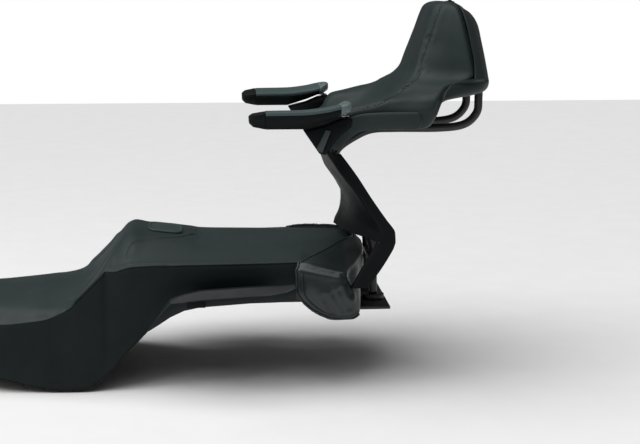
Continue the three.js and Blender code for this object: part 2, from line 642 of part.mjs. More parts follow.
for (const [side, s] of SIDES) {
  const rings = BAND.map(([x, z], i) => {
    const a = BAND[Math.max(0, i - 1)];
    const b = BAND[Math.min(BAND.length - 1, i + 1)];
    const length = Math.hypot(b[0] - a[0], b[1] - a[1]);
    const nx = -(b[1] - a[1]) / length;
    const nz = (b[0] - a[0]) / length;
    const tips = [[-BAND_HALF.y, -1], [BAND_HALF.y - 1.5, -1], [BAND_HALF.y, -0.6], [BAND_HALF.y, 0.6],
      [BAND_HALF.y - 1.5, 1], [-BAND_HALF.y, 1]];
    return tips.map(([y, t]) => [x + nx * t * BAND_HALF.z, s * (BAND_Y + y), z + nz * t * BAND_HALF.z]);
  });
  addMesh(`${side}_wing_band`, loft(rings, (p) => [p[1], p[2] + p[0] * 0.5]), VINYL);
}

// ---------- armrests ----------
// one section of the armrest's 'core', of its 'pad', or of both as one 'whole'
function armSection(x, s, part) {
  const [zi, zo, zb, hw, zc] = lerpTable(ARM, x);
  const at = (y, z) => [x, s * (ARM_Y + y), z];
  const under = part === 'pad'
    ? [at(-hw, zi - ARM_PAD), at(hw, zo - ARM_PAD)]
    : [at(-hw, zc), at(-hw + 12, zb), at(hw - 12, zb), at(hw, zc)];
  if (part === 'core') return [...under, at(hw, zo - ARM_PAD - GAP), at(-hw, zi - ARM_PAD - GAP)];
  return [...under, at(hw, zo - 2.5), at(hw - 4, zo), at(-hw + 4, zi), at(-hw, zi - 2.5)];
}

const yz = (p) => [p[1], p[2]];
const armXs = (from, to) => [from, ...ARM.map((row) => row[0]).filter((x) => x > from && x < to), to];
for (const [side, s] of SIDES) {
  const onAxis = (r, z0, z1) => rod(r, [PIVOT.x, s * ARM_Y, z0], [PIVOT.x, s * ARM_Y, z1], 12);
  const piece = (from, to, part) => loft(armXs(from, to).map((x) => armSection(x, s, part)), yz);
  addMesh(`${side}_armrest_core`, piece(ARM_NOSE_X, ARM_CAP_X, 'core'), PLASTIC);
  addMesh(`${side}_armrest_pad`, piece(ARM_NOSE_X, ARM_CAP_X, 'pad'), VINYL);
  addMesh(`${side}_armrest_nose`, piece(ARM_FRONT, ARM_NOSE_X - GAP, 'whole'), PLASTIC);
  const cap = piece(ARM_CAP_X + GAP, ARM_REAR, 'whole');
  const hole = onAxis(PIVOT.bore, PIVOT.z0 - 10, PIVOT.z1 + 20);
  addMesh(`${side}_armrest_cap`, cut(cap, hole), PLASTIC);
  addMesh(`${side}_armrest_pivot`, onAxis(PIVOT.r, PIVOT.z0, PIVOT.z1), ZINC);
  const ring = onAxis(WASHER.r, WASHER.z0, WASHER.z1);
  addMesh(`${side}_armrest_washer`, cut(ring, hole), ZINC);
  addMesh(`${side}_armrest_bracket`, sidePlate(BRACKET.outline, s * BRACKET.y0, s * BRACKET.y1), PLASTIC);
  addMesh(`${side}_armrest_strut`, sidePlate(STRUT.outline, s * STRUT.y, s * (STRUT.y + STRUT.thick)), PLASTIC);
}

export default group;
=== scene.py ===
"""Touring motorcycle seat: fine geometry, materials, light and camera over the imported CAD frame."""

import math

import bmesh
import bpy
import numpy as np
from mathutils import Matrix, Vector
from mathutils.bvhtree import BVHTree


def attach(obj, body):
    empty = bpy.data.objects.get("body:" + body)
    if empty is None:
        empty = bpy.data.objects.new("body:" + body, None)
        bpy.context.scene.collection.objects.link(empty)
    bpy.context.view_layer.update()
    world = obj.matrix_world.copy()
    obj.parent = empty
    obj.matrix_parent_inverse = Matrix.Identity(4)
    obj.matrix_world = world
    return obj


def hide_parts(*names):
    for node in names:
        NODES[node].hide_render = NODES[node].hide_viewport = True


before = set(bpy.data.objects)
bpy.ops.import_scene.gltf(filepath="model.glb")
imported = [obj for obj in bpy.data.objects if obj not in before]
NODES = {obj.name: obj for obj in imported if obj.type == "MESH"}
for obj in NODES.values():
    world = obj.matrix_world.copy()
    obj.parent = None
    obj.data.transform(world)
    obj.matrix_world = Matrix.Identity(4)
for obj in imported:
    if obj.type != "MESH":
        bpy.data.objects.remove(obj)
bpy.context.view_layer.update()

MM = 0.001
SIDES = ((-1, "left"), (1, "right"))


# ---------- curves ----------
def pchip(xs, ys, x):
    """Monotone cubic through (xs, ys): smooth, with no overshoot."""
    xs, ys, x = np.asarray(xs, float), np.asarray(ys, float), np.asarray(x, float)
    h = np.diff(xs)
    d = np.diff(ys, axis=0) / h.reshape((-1,) + (1,) * (ys.ndim - 1))
    m = np.zeros_like(ys)
    m[0], m[-1] = d[0], d[-1]
    w1 = (2 * h[1:] + h[:-1]).reshape((-1,) + (1,) * (ys.ndim - 1))
    w2 = (h[1:] + 2 * h[:-1]).reshape((-1,) + (1,) * (ys.ndim - 1))
    same = d[:-1] * d[1:] > 0
    safe_a = np.where(same, d[:-1], 1.0)
    safe_b = np.where(same, d[1:], 1.0)
    m[1:-1] = np.where(same, (w1 + w2) / (w1 / safe_a + w2 / safe_b), 0.0)
    i = np.clip(np.searchsorted(xs, x) - 1, 0, len(xs) - 2)
    t = ((x - xs[i]) / h[i]).reshape((-1,) + (1,) * (ys.ndim - 1))
    hh = h[i].reshape(t.shape)
    t2, t3 = t * t, t * t * t
    return ((2 * t3 - 3 * t2 + 1) * ys[i] + (t3 - 2 * t2 + t) * hh * m[i]
            + (3 * t2 - 2 * t3) * ys[i + 1] + (t3 - t2) * hh * m[i + 1])


def spline(points, count):
    """count points, evenly spaced, on a smooth curve through the given ones."""
    p = np.asarray(points, float)
    s = np.concatenate([[0], np.cumsum(np.linalg.norm(np.diff(p, axis=0), axis=1) ** 0.5)])
    m = np.zeros_like(p)
    m[1:-1] = (p[2:] - p[:-2]) / (s[2:] - s[:-2])[:, None]
    m[0] = (p[1] - p[0]) / (s[1] - s[0])
    m[-1] = (p[-1] - p[-2]) / (s[-1] - s[-2])
    fine = np.linspace(s[0], s[-1], 40 * len(p))
    i = np.clip(np.searchsorted(s, fine, side="right") - 1, 0, len(s) - 2)
    h = (s[i + 1] - s[i])[:, None]
    t = ((fine - s[i]) / (s[i + 1] - s[i]))[:, None]
    t2, t3 = t * t, t * t * t
    q = ((2 * t3 - 3 * t2 + 1) * p[i] + (t3 - 2 * t2 + t) * h * m[i]
         + (3 * t2 - 2 * t3) * p[i + 1] + (t3 - t2) * h * m[i + 1])
    arc = np.concatenate([[0], np.cumsum(np.linalg.norm(np.diff(q, axis=0), axis=1))])
    want = np.linspace(0, arc[-1], count)
    return np.stack([np.interp(want, arc, q[:, k]) for k in range(q.shape[1])], axis=1)


# ---------- meshes ----------
def new_object(name, verts, faces, material):
    """A mesh object from vertices in millimetres."""
    mesh = bpy.data.meshes.new(name)
    mesh.from_pydata([tuple(v) for v in np.asarray(verts) * MM], [], [tuple(f) for f in faces])
    mesh.validate()
    mesh.update()
    obj = bpy.data.objects.new(name, mesh)
    bpy.context.scene.collection.objects.link(obj)
    bm = bmesh.new()
    bm.from_mesh(mesh)
    bmesh.ops.recalc_face_normals(bm, faces=bm.faces)
    bm.to_mesh(mesh)
    bm.free()
    mesh.shade_smooth()
    mesh.materials.append(material)
    return obj


def grid_faces(nu, nv, wrap_v=False):
    faces = []
    for i in range(nu - 1):
        for j in range(nv if wrap_v else nv - 1):
            k = (j + 1) % nv
            faces.append((i * nv + j, (i + 1) * nv + j, (i + 1) * nv + k, i * nv + k))
    return faces


def closed_loft(name, rings, material):
    """Solid through rings (n, m, 3), with each end closed by shrinking rings."""
    rings = np.asarray(rings, float)
    ends = []
    for ring in (rings[0], rings[-1]):
        centre = ring.mean(axis=0)
        ends.append([centre + (ring - centre) * k for k in (0.7, 0.35, 0.02)])
    stack = np.array(ends[0][::-1] + list(rings) + ends[1])
    n, m = stack.shape[:2]
    faces = grid_faces(n, m, wrap_v=True)
    faces.append(tuple(range(m)))
    faces.append(tuple((n - 1) * m + j for j in reversed(range(m))))
    return new_object(name, stack.reshape(-1, 3), faces, material)


def apply_modifiers(obj):
    bpy.context.view_layer.update()
    depsgraph = bpy.context.evaluated_depsgraph_get()
    mesh = bpy.data.meshes.new_from_object(obj.evaluated_get(depsgraph))
    obj.modifiers.clear()
    old = obj.data
    obj.data = mesh
    bpy.data.meshes.remove(old)
    mesh.shade_smooth()
    return obj


def modify(obj, kind, **settings):
    modifier = obj.modifiers.new(kind, kind)
    for key, value in settings.items():
        setattr(modifier, key, value)


def remesh(obj, voxel, smooth=4):
    modify(obj, "REMESH", mode="VOXEL", voxel_size=voxel * MM, use_smooth_shade=True)
    modify(obj, "SMOOTH", factor=0.5, iterations=smooth)
    return apply_modifiers(obj)


def coords(obj):
    co = np.zeros(len(obj.data.vertices) * 3)
    obj.data.vertices.foreach_get("co", co)
    return co.reshape(-1, 3) / MM


def normals(obj):
    no = np.zeros(len(obj.data.vertices) * 3)
    obj.data.vertex_normals.foreach_get("vector", no)
    return no.reshape(-1, 3)


def set_coords(obj, co):
    obj.data.vertices.foreach_set("co", (np.asarray(co) * MM).ravel())
    obj.data.update()


def distance_to(points, line):
    """Distance from each point to a polyline, in millimetres."""
    line = np.asarray(line, float)
    best = np.full(len(points), 1e9)
    for a, b in zip(line[:-1], line[1:]):
        ab = b - a
        t = np.clip(((points - a) @ ab) / max(ab @ ab, 1e-9), 0, 1)
        best = np.minimum(best, np.linalg.norm(points - (a + t[:, None] * ab), axis=1))
    return best


def shape_line(obj, line, depth, width, puff=0.0, puff_at=8.0, puff_width=6.0):
    """Sinks the surface along a line by depth, and puffs it up a little on both sides."""
    co, no = coords(obj), normals(obj)
    d = distance_to(co, line)
    move = -depth * np.exp(-(d / width) ** 2)
    if puff:
        move = move + puff * np.exp(-((d - puff_at) / puff_width) ** 2)
    set_coords(obj, co + no * move[:, None])


def bvh_of(obj):
    bm = bmesh.new()
    bm.from_mesh(obj.data)
    tree = BVHTree.FromBMesh(bm)
    bm.free()
    return tree


def laid_on(tree, line, lift=0.0):
    """The line's points moved onto the nearest surface, with the normals there."""
    out, ups = [], []
    for p in line:
        place, normal, _, _ = tree.find_nearest(Vector(p) * MM)
        out.append(np.array(place) / MM + np.array(normal) * lift)
        ups.append(np.array(normal))
    return np.array(out), np.array(ups)


def tube(name, line, radius, material, sides=10):
    """Round cord along a line."""
    line = np.asarray(line, float)
    n = len(line)
    tangent = np.gradient(line, axis=0)
    tangent /= np.linalg.norm(tangent, axis=1)[:, None]
    up = np.array([0.0, 0.0, 1.0])
    if abs(tangent[0] @ up) > 0.9:
        up = np.array([0.0, 1.0, 0.0])
    side = np.cross(tangent[0], up)
    side /= np.linalg.norm(side)
    rings = []
    for i in range(n):
        side = side - tangent[i] * (side @ tangent[i])
        side /= np.linalg.norm(side)
        over = np.cross(side, tangent[i])
        angle = np.linspace(0, 2 * math.pi, sides, endpoint=False)
        rings.append(line[i] + radius * (np.cos(angle)[:, None] * side + np.sin(angle)[:, None] * over))
    return closed_loft(name, rings, material)


def stitches(name, line, ups, pitch, length, radius, material):
    """A row of thread stitches lying on a surface along a line."""
    line, ups = np.asarray(line, float), np.asarray(ups, float)
    arc = np.concatenate([[0], np.cumsum(np.linalg.norm(np.diff(line, axis=0), axis=1))])
    verts, faces = [], []
    place = pitch / 2
    while place + length / 2 < arc[-1]:
        here = [np.array([np.interp(place + k, arc, line[:, c]) for c in range(3)])
                for k in (-length / 2, length / 2)]
        up = np.array([np.interp(place, arc, ups[:, c]) for c in range(3)])
        up /= max(np.linalg.norm(up), 1e-6)
        along = here[1] - here[0]
        along /= max(np.linalg.norm(along), 1e-6)
        side = np.cross(along, up)
        for t, grow, sink in ((-0.5, 0.25, 0.5), (-0.3, 1, 0), (0.3, 1, 0), (0.5, 0.25, 0.5)):
            centre = (here[0] + here[1]) / 2 + along * t * length - up * sink * radius
            for k in range(6):
                a = k * math.pi / 3
                verts.append(centre + radius * grow * (math.cos(a) * side + 0.7 * math.sin(a) * up))
        base = len(verts) - 24
        for r in range(3):
            for k in range(6):
                a, b = base + r * 6 + k, base + r * 6 + (k + 1) % 6
                faces.append((a, b, b + 6, a + 6))
        faces.append(tuple(base + k for k in range(6)))
        faces.append(tuple(base + 18 + k for k in reversed(range(6))))
        place += pitch
    return new_object(name, verts, faces, material)


def ring_curve(points, per_segment):
    """Smooth closed curve through a ring's points, with the same number of samples between each two."""
    p = np.asarray(points, float)
    n = len(p)
    before, after = np.roll(p, 1, axis=0), np.roll(p, -1, axis=0)
    h = np.linalg.norm(after - p, axis=1) ** 0.5 + 1e-9
    m = (after - before) / (h + np.roll(h, 1))[:, None]
    t = np.linspace(0, 1, per_segment, endpoint=False)[None, :, None]
    t2, t3 = t * t, t * t * t
    a, b = p[:, None], after[:, None]
    ma, mb = (m * h[:, None])[:, None], (np.roll(m, -1, axis=0) * h[:, None])[:, None]
    curve = (2 * t3 - 3 * t2 + 1) * a + (t3 - 2 * t2 + t) * ma + (3 * t2 - 2 * t3) * b + (t3 - t2) * mb
    return curve.reshape(n * per_segment, p.shape[1])


def along_rows(table, count):
    """Table rows resampled to a smooth run of count rows."""
    return pchip(np.arange(len(table)), table, np.linspace(0, len(table) - 1, count))


def open_skin(name, rows, thickness, material):
    """Sheet through rows of points, given a thickness towards its inside."""
    rows = np.asarray(rows, float)
    obj = new_object(name, rows.reshape(-1, 3), grid_faces(*rows.shape[:2]), material)
    modify(obj, "SOLIDIFY", thickness=thickness * MM, offset=-1.0)
    return apply_modifiers(obj)


def refined(node, material, slot_name, body="seat", width=0.9, segments=3):
    """Copy of a hard CAD piece with its flats joined and its edges rounded, in the piece's place."""
    mesh = NODES[node].data.copy()
    mesh.name = node + "_fine"
    bm = bmesh.new()
    bm.from_mesh(mesh)
    bmesh.ops.remove_doubles(bm, verts=bm.verts, dist=1e-6)
    bmesh.ops.dissolve_limit(bm, angle_limit=math.radians(1.0), verts=bm.verts, edges=bm.edges)
    bm.to_mesh(mesh)
    bm.free()
    mesh.materials.clear()
    mesh.materials.append(material)
    obj = bpy.data.objects.new(node + "_fine", mesh)
    bpy.context.scene.collection.objects.link(obj)
    modify(obj, "BEVEL", width=width * MM, segments=segments, limit_method="ANGLE",
           angle_limit=math.radians(18), use_clamp_overlap=True)
    modify(obj, "WEIGHTED_NORMAL", weight=80)
    apply_modifiers(obj)
    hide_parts(node)
    ride_all.append((obj, body, slot_name))


# (piece, body, slot) of everything built here, handed to the frame at the end
ride_all = []


# ---------- materials ----------
class Nodes:
    """Small helper that builds a node material."""

    def __init__(self, name):
        self.material = bpy.data.materials.new(name)
        self.material.use_nodes = True
        self.tree = self.material.node_tree
        self.bsdf = self.tree.nodes["Principled BSDF"]
        self.coord = self.tree.nodes.new("ShaderNodeTexCoord").outputs["Object"]

    def add(self, kind, **values):
        node = self.tree.nodes.new(kind)
        for key, value in values.items():
            if key in node.inputs:
                node.inputs[key].default_value = value
            else:
                setattr(node, key, value)
        return node

    def link(self, a, b):
        self.tree.links.new(a, b)

    def noise(self, scale, detail=3.0, roughness=0.5):
        node = self.add("ShaderNodeTexNoise", Scale=scale, Detail=detail, Roughness=roughness)
        self.link(self.coord, node.inputs["Vector"])
        return node.outputs["Fac"]

    def cells(self, scale, feature="DISTANCE_TO_EDGE"):
        node = self.add("ShaderNodeTexVoronoi", Scale=scale, feature=feature)
        self.link(self.coord, node.inputs["Vector"])
        return node.outputs["Distance"]

    def ramp(self, source, low, high, a, b):
        node = self.add("ShaderNodeMapRange")
        self.link(source, node.inputs["Value"])
        for key, value in (("From Min", low), ("From Max", high), ("To Min", a), ("To Max", b)):
            node.inputs[key].default_value = value
        return node.outputs["Result"]

    def mix(self, factor, a, b):
        node = self.add("ShaderNodeMix", data_type="RGBA")
        self.link(factor, node.inputs["Factor"])
        node.inputs["A"].default_value = (*a, 1)
        node.inputs["B"].default_value = (*b, 1)
        return node.outputs["Result"]

    def bump(self, source, strength, distance, after=None):
        node = self.add("ShaderNodeBump", Strength=strength, Distance=distance)
        self.link(source, node.inputs["Height"])
        if after is not None:
            self.link(after, node.inputs["Normal"])
        return node.outputs["Normal"]

    def finish(self, colour=None, rough=None, normal=None, **values):
        for key, value in values.items():
            self.bsdf.inputs[key.replace("_", " ")].default_value = value
        if colour is not None:
            self.link(colour, self.bsdf.inputs["Base Color"])
        if rough is not None:
            self.link(rough, self.bsdf.inputs["Roughness"])
        if normal is not None:
            self.link(normal, self.bsdf.inputs["Normal"])
        return self.material


def vinyl_material(name, dark, light, rough_low, rough_high, grain=0.35, specular=0.3, sheen=0.0):
    n = Nodes(name)
    tone = n.ramp(n.noise(9, 4), 0.35, 0.7, 0, 1)
    scuff = n.ramp(n.noise(34, 5, 0.6), 0.3, 0.75, rough_low, rough_high)
    pebble = n.ramp(n.cells(620), 0.0, 0.35, 0, 1)
    first = n.bump(n.noise(60, 3), 0.25, 0.0006)
    second = n.bump(pebble, grain, 0.0002, first)
    return n.finish(n.mix(tone, dark, light), scuff, second, Specular_IOR_Level=specular, Sheen_Weight=sheen,
                    Sheen_Roughness=0.5)


def plastic_material(name, dark, light, rough_low, rough_high, grain=0.25, specular=0.3):
    n = Nodes(name)
    tone = n.ramp(n.noise(12, 4), 0.35, 0.7, 0, 1)
    scuff = n.ramp(n.noise(45, 4, 0.6), 0.3, 0.75, rough_low, rough_high)
    return n.finish(n.mix(tone, dark, light), scuff, n.bump(n.noise(900, 2), grain, 0.00012),
                    Specular_IOR_Level=specular)


def metal_material(name, dark, light, metallic, rough_low, rough_high):
    n = Nodes(name)
    tone = n.ramp(n.noise(25, 4), 0.35, 0.7, 0, 1)
    scuff = n.ramp(n.noise(120, 4, 0.6), 0.3, 0.75, rough_low, rough_high)
    return n.finish(n.mix(tone, dark, light), scuff, n.bump(n.noise(500, 2), 0.15, 0.0001), Metallic=metallic)


def foam_material(name):
    n = Nodes(name)
    tone = n.ramp(n.noise(40, 4), 0.3, 0.7, 0, 1)
    pores = n.bump(n.cells(420, "F1"), 0.6, 0.0006)
    return n.finish(n.mix(tone, (0.42, 0.35, 0.2), (0.55, 0.48, 0.3)), None, pores, Roughness=0.95)


VINYL = vinyl_material("vinyl_black", (0.015, 0.0245, 0.025), (0.0195, 0.031, 0.0315), 0.5, 0.62)
# painted highlight: a lighter copy of the seat vinyl for the armrest pads, standing in for the light on the
# armrest tops
VINYL_ARM_PAINTED_HIGHLIGHT = vinyl_material("vinyl_arm_painted_highlight", (0.048, 0.074, 0.074), (0.058, 0.088, 0.088), 0.5, 0.62)
# painted shade: a darker, less glossy copy of the seat vinyl for the side panels, standing in for the shade
# the sides are in
VINYL_PAINTED_SHADE = vinyl_material("vinyl_painted_shade", (0.008, 0.012, 0.0125), (0.0115, 0.0165, 0.017),
                            0.54, 0.66, specular=0.13)
LEATHER = vinyl_material("leather_gloss", (0.010, 0.0155, 0.0155), (0.014, 0.021, 0.021),
                         0.3, 0.42, 0.18, 0.5)
PIPING = vinyl_material("piping_black", (0.013, 0.019, 0.019), (0.018, 0.026, 0.026), 0.28, 0.38, 0.05, 0.5)
PATCH = plastic_material("patch_rubber", (0.028, 0.044, 0.044), (0.036, 0.055, 0.055), 0.5, 0.62)
THREAD = plastic_material("thread_black", (0.012, 0.017, 0.017), (0.02, 0.028, 0.028), 0.5, 0.7)
PLASTIC = plastic_material("plastic_black", (0.004, 0.0055, 0.006), (0.006, 0.008, 0.0085),
                           0.5, 0.62, specular=0.1)
PLASTIC_RAIL = plastic_material("plastic_rail", (0.006, 0.009, 0.0095), (0.009, 0.013, 0.0135),
                                0.42, 0.52, specular=0.22)
PLASTIC_STRUT = plastic_material("plastic_strut", (0.035, 0.048, 0.05), (0.045, 0.06, 0.062), 0.42, 0.55)
PLASTIC_SHELL = plastic_material("plastic_shell", (0.015, 0.023, 0.024), (0.019, 0.028, 0.029), 0.45, 0.58)
PLASTIC_GREY = plastic_material("plastic_grey", (0.11, 0.145, 0.145), (0.13, 0.17, 0.17), 0.42, 0.55)
STEEL = metal_material("powder_coat", (0.012, 0.012, 0.013), (0.02, 0.02, 0.021), 0.0, 0.35, 0.5)
ZINC = metal_material("zinc", (0.42, 0.42, 0.44), (0.56, 0.56, 0.58), 1.0, 0.25, 0.42)
RUBBER = plastic_material("rubber_black", (0.008, 0.008, 0.008), (0.014, 0.014, 0.014), 0.7, 0.85)
FOAM = foam_material("seat_foam")


# ---------- saddle ----------
# x, centre z, then (y, z) of the crown, the shoulder or ridge, the seam and the skirt hem
SADDLE = np.array([
    [-905, 14, 25, 13, 48, 8, 66, -20, 70, -52],
    [-897, 30, 35, 28, 64, 20, 88, -9, 92, -60],
    [-875, 37, 42, 36, 80, 29, 106, 2, 112, -68],
    [-830, 32, 52, 30, 98, 24, 128, -1, 135, -80],
    [-780, 28.5, 58, 26, 112, 19, 148, -6, 156, -90],
    [-730, 28.5, 62, 26, 124, 17.5, 162, -8, 172, -100],
    [-680, 32.5, 66, 29.5, 138, 18.5, 174, -6, 184, -111],
    [-640, 36.5, 68, 33.5, 152, 19.5, 181, -1, 188, -122],
    [-610, 40, 70, 36.5, 165, 20, 186, 4, 191, -127],
    [-585, 43, 75, 39, 165, 24, 188, 14, 192, -131],
    [-560, 48, 80, 44, 168, 33, 190, 28, 193, -131],
    [-549, 53, 80, 49, 168, 44, 191, 42, 193, -131],
    [-537, 60, 80, 57, 165, 55, 190, 53, 193, -130],
    [-521, 75, 78, 72, 160, 72, 188, 69, 192, -124],
    [-506, 93, 75, 91, 152, 90, 185, 83, 191, -112],
    [-495, 107, 70, 105, 145, 104, 180, 92, 190, -103],
    [-482, 123, 60, 123, 117, 117, 183, 92, 190, -89],
    [-464, 141, 55, 141, 100, 137, 186, 97, 190, -66],
    [-450, 147, 50, 148, 95, 142, 187, 101, 189.5, -53],
    [-425, 145.5, 50, 144, 96, 137.5, 187, 102.5, 188, -28],
    [-400, 142.5, 50, 141, 100, 134.5, 187, 103, 187, 0],
    [-370, 139, 55, 137, 108, 130, 187, 103, 185, 31],
    [-340, 134.5, 58, 132, 113, 125.5, 186, 103.5, 183, 45],
    [-320, 131, 60, 128.5, 120, 121, 186, 103.5, 182, 45],
    [-250, 129, 60, 126.5, 120, 119, 186, 104, 178, 45],
    [-160, 127.4, 60, 125, 120, 117.3, 187, 105.5, 180, 46],
    [-136, 127, 60, 124.5, 120, 117, 188, 106, 183, 50],
    [-118, 127, 56, 125, 110, 118.5, 172, 105, 168, 55],
    [-95, 127, 50, 125, 98, 120, 148, 110, 144, 58],
    [-70, 127, 40, 126, 78, 122.5, 114, 116.5, 110, 60],
    [-48, 126.5, 28, 126, 54, 124.5, 80, 121, 76, 60],
    [-32, 126, 18, 125.5, 32, 125, 48, 123, 45, 60],
    [-24, 123, 8, 123, 16, 122.5, 26, 121.5, 24, 62],
], float)
PADDING = 1.5
SEAM_ALLOWANCE = 14.0
SEAM_FROM, SEAM_TO = -572, -137


def saddle_half(row, top_points, side_points):
    """Half section from the centre to the hem: smooth to the seam, then a slightly full side panel."""
    top = spline([(0, row[0]), (row[1], row[2]), (row[3], row[4]), (row[5], row[6])], 120)
    even = np.linspace(0, 1, top_points)
    place = (1 - (1 - even) ** 1.7) * 119
    top = np.stack([np.interp(place, np.arange(120), top[:, k]) for k in (0, 1)], axis=1)
    t = np.linspace(0, 1, side_points)[1:] ** 1.6
    side_y = row[5] + (row[7] - row[5]) * t + 3.0 * np.sin(math.pi * t)
    side_z = row[6] + (row[8] - row[6]) * t
    return np.vstack([top, np.stack([side_y, side_z], axis=1)])


def end_caps(ring):
    """Copies of an end ring that shrink towards the middle of its lower edge."""
    foot = np.array([ring[0, 0], 0.0, ring[:, 2].min()])
    return [foot + (ring - foot) * k for k in (0.75, 0.4, 0.02)]


def build_saddle():
    nose, tail = [-905, -904.3, -903, -901, -898.5], [-29, -27, -25.5, -24.5, -24]
    xs = np.concatenate([nose, np.arange(-896, -30, 3.2), tail])
    rows = pchip(SADDLE[:, 0], SADDLE[:, 1:], xs)
    grid = []
    for x, row in zip(xs, rows):
        half = saddle_half(row, 54, 30)
        ring = np.vstack([half[:0:-1] * [-1, 1], half])
        grid.append(np.column_stack([np.full(len(ring), x), ring]))
    grid = np.array(end_caps(grid[0])[::-1] + grid + end_caps(grid[-1]))
    return new_object("saddle_skin", grid.reshape(-1, 3), grid_faces(*grid.shape[:2]), VINYL)


def seam_side(sign, inset=0.0):
    """The side seam of the saddle, from the rider's hip to the bolster."""
    xs = np.arange(SEAM_FROM, SEAM_TO, 6.0)
    rows = pchip(SADDLE[:, 0], SADDLE[:, 1:], xs)
    return np.column_stack([xs, sign * (rows[:, 5] - inset), rows[:, 6]])


HUMP_SEAM = spline([(-458, 158, 122), (-446, 120, 136), (-410, 98, 140), (-362, 71, 137), (-340, 40, 135),
                    (-333, 23, 134)], 40)
BUCKET_CREASE = spline([(-560, 150, 34), (-540, 136, 55), (-520, 108, 76), (-502, 84, 98),
                        (-486, 62, 118)], 30)


def paint_side_shade(obj):
    """Paints shade onto the side panels below the seam: they get a darker, less glossy copy of the same
    vinyl, standing in for the shade on the sides.
    """
    obj.data.materials.append(VINYL_PAINTED_SHADE)
    place = coords(obj)
    rows = pchip(SADDLE[:, 0], SADDLE[:, 1:], place[:, 0])
    # faces below the seam on the sides get the painted shade
    side_shade_mask = (place[:, 2] < rows[:, 6] - 0.5) & (np.abs(place[:, 1]) > rows[:, 5] - 8)
    for polygon in obj.data.polygons:
        if sum(side_shade_mask[v] for v in polygon.vertices) >= 3:
            polygon.material_index = 1


def padded_skin(obj, thickness, seams):
    """Gives the cover its padding: vinyl outside and on the seam allowances, foam inside."""
    obj.data.materials.append(FOAM)
    obj.data.materials.append(FOAM)
    modify(obj, "SOLIDIFY", thickness=thickness * MM, offset=-1.0, material_offset=2)
    apply_modifiers(obj)
    place = coords(obj)
    near = np.min([distance_to(place, seam) for seam in seams], axis=0) < SEAM_ALLOWANCE
    for polygon in obj.data.polygons:
        if polygon.material_index > 1 and any(near[v] for v in polygon.vertices):
            polygon.material_index -= 2


saddle = build_saddle()
for sign in (-1, 1):
    side = seam_side(sign)
    shape_line(saddle, side, 1.4, 2.4, puff=0.8, puff_at=9, puff_width=6)
    hump = HUMP_SEAM * [1, sign, 1]
    shape_line(saddle, laid_on(bvh_of(saddle), hump)[0], 1.9, 2.2, puff=0.5, puff_at=9, puff_width=5)
    crease = BUCKET_CREASE * [1, sign, 1]
    shape_line(saddle, laid_on(bvh_of(saddle), crease)[0], 3.0, 9.0)
saddle_top = bvh_of(saddle)
saddle_trim = []
for sign, word in SIDES:
    line, ups = laid_on(saddle_top, spline(seam_side(sign, 5.0) + [0, 0, 2.0], 220), 0.2)
    saddle_trim.append(stitches(f"side_stitch_{word}", line, ups, 6.0, 4.2, 0.45, THREAD))
    line, ups = laid_on(saddle_top, spline(HUMP_SEAM * [1, sign, 1] + [0, -4 * sign, 0], 80), 0.2)
    saddle_trim.append(stitches(f"hump_stitch_{word}", line, ups, 5.0, 3.4, 0.45, THREAD))
    end = HUMP_SEAM[-1] * [1, sign, 1]
    for k, slope in enumerate((-1, 1)):
        cross = [end + [-6, -6 * slope, 0], end, end + [6, 6 * slope, 0]]
        line = laid_on(saddle_top, cross, 0.3)[0]
        saddle_trim.append(tube(f"hump_tack_{word}_{k + 1}", spline(line, 12), 0.7, THREAD, sides=6))
# paints shade onto the saddle's side panels below the seam
paint_side_shade(saddle)
padded_skin(saddle, PADDING, [seam_side(-1), seam_side(1)])
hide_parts("seat_cover", "seat_foam")
ride_all.append((saddle, "seat", "vinyl"))
ride_all += [(piece, "seat", "vinyl") for piece in saddle_trim]


def build_patch():
    """Raised pad on the hump, with a rim, laid on the saddle."""
    centre, half = np.array([-388.5, 0.0]), np.array([34.0, 46.0])
    profile = [(0.02, 2.4), (0.3, 2.4), (0.6, 2.4), (0.8, 2.3), (0.86, 2.6), (0.9, 4.2), (0.95, 4.4),
               (0.985, 3.4), (1.0, 1.2), (0.99, 0.3)]
    verts, m = [], 96
    for r, height in profile:
        for j in range(m):
            a = 2 * math.pi * j / m
            c, s = math.cos(a), math.sin(a)
            k = (abs(c) ** 4.5 + abs(s) ** 4.5) ** (-1 / 4.5)
            x, y = centre + half * r * k * np.array([c, s])
            hit = saddle_top.ray_cast(Vector((x * MM, y * MM, 0.3)), Vector((0, 0, -1)))[0]
            verts.append((x, y, hit.z / MM + height))
    faces = grid_faces(len(profile), m, wrap_v=True)
    faces.append(tuple(range(m)))
    faces.append(tuple((len(profile) - 1) * m + j for j in reversed(range(m))))
    return new_object("hump_pad", verts, faces, PATCH)


patch = build_patch()
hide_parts("hump_patch")
ride_all.append((patch, "seat", "vinyl"))


# ---------- rear hip bolster ----------
# inner x, y, top z; outer x, y, top z; outer hem x, y, z; inner hem z
BOLSTER = np.array([
    [-136, 193.5, 104, -141, 199, 98, -141, 199, 64, 68],
    [-134, 193, 106, -140.5, 204, 101, -141.5, 205, 54, 60],
    [-118, 178, 112, -126, 212, 102, -132, 214, 36, 44],
    [-96, 155, 117, -103, 218, 98, -108, 219, 15, 34],
    [-72, 122, 122, -78, 223, 93, -76, 223, 3, 34],
    [-50, 88, 127, -54, 225, 88, -42, 224, 3, 52],
    [-43, 78, 128, -49, 212, 91, -24, 214, 12, 52],
    [-38, 70, 128.5, -40, 186, 95, -20, 188, 36, 52],
    [-32, 62, 128.5, -18, 130, 104, -14, 130, 50, 52],
    [-25, 46, 128.5, -6, 90, 109, -4, 90, 52, 52],
    [-21, 26, 128, 0, 46, 113, 0, 46, 52, 52],
    [-20, 0, 127, 2, 0, 114, 2, 0, 52, 52],
], float)


